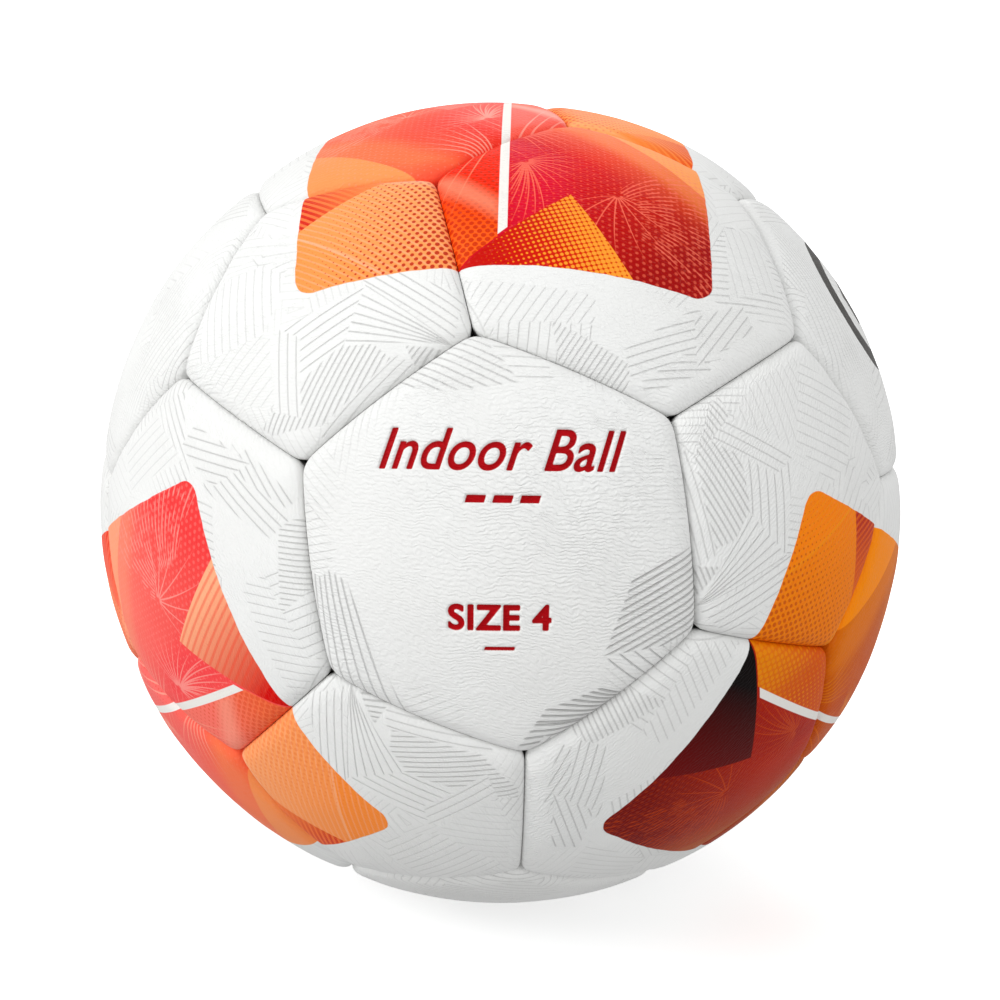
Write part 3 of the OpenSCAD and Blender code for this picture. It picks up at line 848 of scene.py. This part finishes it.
ICO = A @ np.eye(3)
PATCHES = [ICO[:, 2], ICO[:, 1], ICO[:, 0]]                 # upper, right and lower-left patches
hex_dirs = [turned([a, b, c]) for a in SG for b in SG for c in SG] + [turned(v) for a in SG for b in SG for v in cyc([0, a / PHI, b * PHI])]
pent_dirs = [turned(v) for a in SG for b in SG for v in cyc([a, 0, b * PHI])]
mats = {"A": cover_material("cover_front", "A"), "B": cover_material("cover_badge", "B")}
panel_names = sorted(n for n in nodes if n.startswith(("hexagon_panel", "pentagon_panel")) or n == "valve_panel")
for name in panel_names:
    six = not name.startswith("pentagon")
    dirs = hex_dirs if six else pent_dirs
    m = node_dir(name)
    c = max(dirs, key=lambda d: d @ m)
    v = [w for w in CORNERS if w @ c > (math.cos(math.radians(24.8)) if six else math.cos(math.radians(21.0)))][0]
    if six:
        kind = "C" if abs(abs((A.T @ c)).min()) < 1e-6 else None
        if kind is None:
            t = np.sign(A.T @ c)
            kind = "A" if t.prod() > 0 else "B"
    else:
        kind = "P"
    g = group_of(kind, c, True)
    # every base orbit: A holds (1,1,1) and its images, B holds the rest
    valve = name == "valve_panel"
    lettered = kind in "AB" and c @ BASE[kind] > 0.99
    n = 60 if not lettered else (158 if kind == "A" else 90)
    ob = panel("cover_" + name, c, v, 6 if six else 5, n, kind, g, valve)
    if kind in "CP":
        pc = g @ PATCH_C
        i = int(np.argmax([abs(pc @ q) for q in PATCHES]))
        sign = pc @ PATCHES[i] > 0
        # which half of the patch: the one nearer the front keeps set 0
        base_g = [h for h in T if (h @ PATCH_C) @ pc > 0.9999]
        front = max(base_g, key=lambda h: -(h @ BASE[kind])[1] if sign else (h @ BASE[kind])[1])
        first = (front @ BASE[kind]) @ c > 0.9999
        key = "ABC"[i] + ("0" if first else "1")
        if (kind, key) not in mats:
            mats[kind, key] = cover_material(("cover_hexagon_" if kind == "C" else "cover_pentagon_") + key, kind,
                                             (HEX_SETS if kind == "C" else PENT_SETS)[key])
        ob.data.materials.append(mats[kind, key])
    else:
        ob.data.materials.append(mats[kind])
    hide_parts(name)
    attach(ob, "ball")
    "cover_print" if kind == "P" else "cover_white"

# ------------------------------------------------------------------ CAD pieces that keep their shape
FIN = {
    "hexagon_foam_pads": simple_material("foam", (226, 214, 176), (240, 232, 204), 900.0, 0.9, 0.0003, "cells"),
    "hexagon_linings": simple_material("lining", (196, 190, 176), (226, 222, 210), 700.0, 0.85, 0.0002, "weave"),
    "seam_thread": simple_material("thread", (214, 208, 192), (238, 234, 222), 700.0, 0.55, 0.0002, "twist"),
    "bladder": simple_material("butyl", (22, 22, 24), (40, 40, 43), 300.0, 0.55, 0.0002),
    "valve_patch": simple_material("patch_cloth", (128, 124, 116), (166, 162, 152), 700.0, 0.85, 0.0002, "weave"),
    "valve_housing": simple_material("valve_rubber", (196, 195, 190), (214, 213, 208), 500.0, 0.5, 0.00012),
    "valve_plug": simple_material("plug_rubber", (24, 24, 26), (44, 44, 47), 600.0, 0.45, 0.00012),
}
FIN["pentagon_foam_pads"], FIN["pentagon_linings"] = FIN["hexagon_foam_pads"], FIN["hexagon_linings"]
for name, mat in FIN.items():
    ob = nodes[name]
    ob.data.materials.clear()
    ob.data.materials.append(mat)

# ------------------------------------------------------------------ stage, light and camera
rm = R / 1000
lo, hi = cad
floor_z = float(lo[2])
sweep = []
for i in range(40):
    t = i / 39
    if t < 0.4:
        sweep.append((-9.0 + 10.4 * t / 0.4, 0.0))
    elif t < 0.8:
        a = (t - 0.4) / 0.4 * math.pi / 2
        sweep.append((1.4 + 0.9 * math.sin(a), 0.9 - 0.9 * math.cos(a)))
    else:
        sweep.append((2.3, 0.9 + (t - 0.8) / 0.2 * 2.5))
sv = [(x, y, floor_z - 0.0002 + z) for y, z in sweep for x in (-9, 9)]
sm = bpy.data.meshes.new("backdrop")
sm.from_pydata(sv, [], [(2 * i, 2 * i + 1, 2 * i + 3, 2 * i + 2) for i in range(len(sweep) - 1)])
sm.update()
floor = bpy.data.objects.new("backdrop", sm)
scene.collection.objects.link(floor)
fm = G("floor_paper")
fx, fy, fz = fm.split(fm.obj())
glow = fm.math("MULTIPLY_ADD", fm.math("SQRT", fx * fx + fy * fy + fz * fz), 1.6, 0.12, clamp=True)
fm.put(fm.bsdf.inputs["Base Color"], fm.mix(fm.noise(6.0, 3.0), lin((236, 236, 236)), lin((240, 240, 240))))
fm.bsdf.inputs["Roughness"].default_value = 0.9
fm.bsdf.inputs["Specular IOR Level"].default_value = 0.1
fm.bsdf.inputs["Emission Color"].default_value = (1, 1, 1, 1)
fm.put(fm.bsdf.inputs["Emission Strength"], glow * 0.75 + 0.2)
floor.data.materials.append(fm.m)
floor.visible_diffuse = False
floor.visible_glossy = False

w = bpy.data.worlds.new("w")
scene.world = w
w.use_nodes = True
wt = w.node_tree
tc = wt.nodes.new("ShaderNodeTexCoord")
sp = wt.nodes.new("ShaderNodeSeparateXYZ")
mr = wt.nodes.new("ShaderNodeMapRange")
mr.inputs["From Min"].default_value, mr.inputs["From Max"].default_value = -0.7, 0.7
mr.inputs["To Min"].default_value, mr.inputs["To Max"].default_value = 0.52, 0.80
wt.links.new(tc.outputs["Generated"], sp.inputs[0])
wt.links.new(sp.outputs["Z"], mr.inputs["Value"])
wt.links.new(mr.outputs[0], wt.nodes["Background"].inputs[1])
wt.nodes["Background"].inputs[0].default_value = (1, 1, 1, 1)


def area(name, loc, size, power, colour=(1, 1, 1), target=(0, 0, 0)):
    l = bpy.data.lights.new(name, "AREA")
    l.shape, l.size, l.energy, l.color = "DISK", size, power, colour
    o = bpy.data.objects.new(name, l)
    scene.collection.objects.link(o)
    z = unit(np.array(loc, float) - np.array(target, float))
    x = unit(np.cross([0, 0, 1.0], z))
    y = np.cross(z, x)
    o.matrix_world = Matrix([[x[0], y[0], z[0], loc[0]], [x[1], y[1], z[1], loc[1]], [x[2], y[2], z[2], loc[2]], [0, 0, 0, 1]])
    return o


area("key", (-1.1, -0.7, 0.75), 0.6, 8.2)
area("low", (-1.0, -0.9, 0.0), 0.5, 3.4)
area("fill", (0.9, -0.9, 0.35), 0.9, 2.8)
area("back", (0.2, 1.0, 1.1), 0.8, 2.5)

CAM = np.array([[0.999894, 0.0019, 0.01441], [-0.01452, 0.09258, 0.99560], [0.00056, -0.99570, 0.09260]])
dist = 2.96596 * rm
cam_d = bpy.data.cameras.new("camera")
cam = bpy.data.objects.new("camera", cam_d)
scene.collection.objects.link(cam)
cx, cy, cz = unit(CAM[0]), None, unit(CAM[2])
cx = unit(cx - (cx @ cz) * cz)
cy = np.cross(cz, cx)
pos = cz * dist
cam.matrix_world = Matrix([[cx[0], cy[0], cz[0], pos[0]], [cx[1], cy[1], cz[1], pos[1]], [cx[2], cy[2], cz[2], pos[2]], [0, 0, 0, 1]])
cam_d.sensor_width = 36
cam_d.lens = 40.26
cam_d.clip_start = 0.01
cam_d.shift_x, cam_d.shift_y = -0.00065, 0.0019
scene.camera = cam
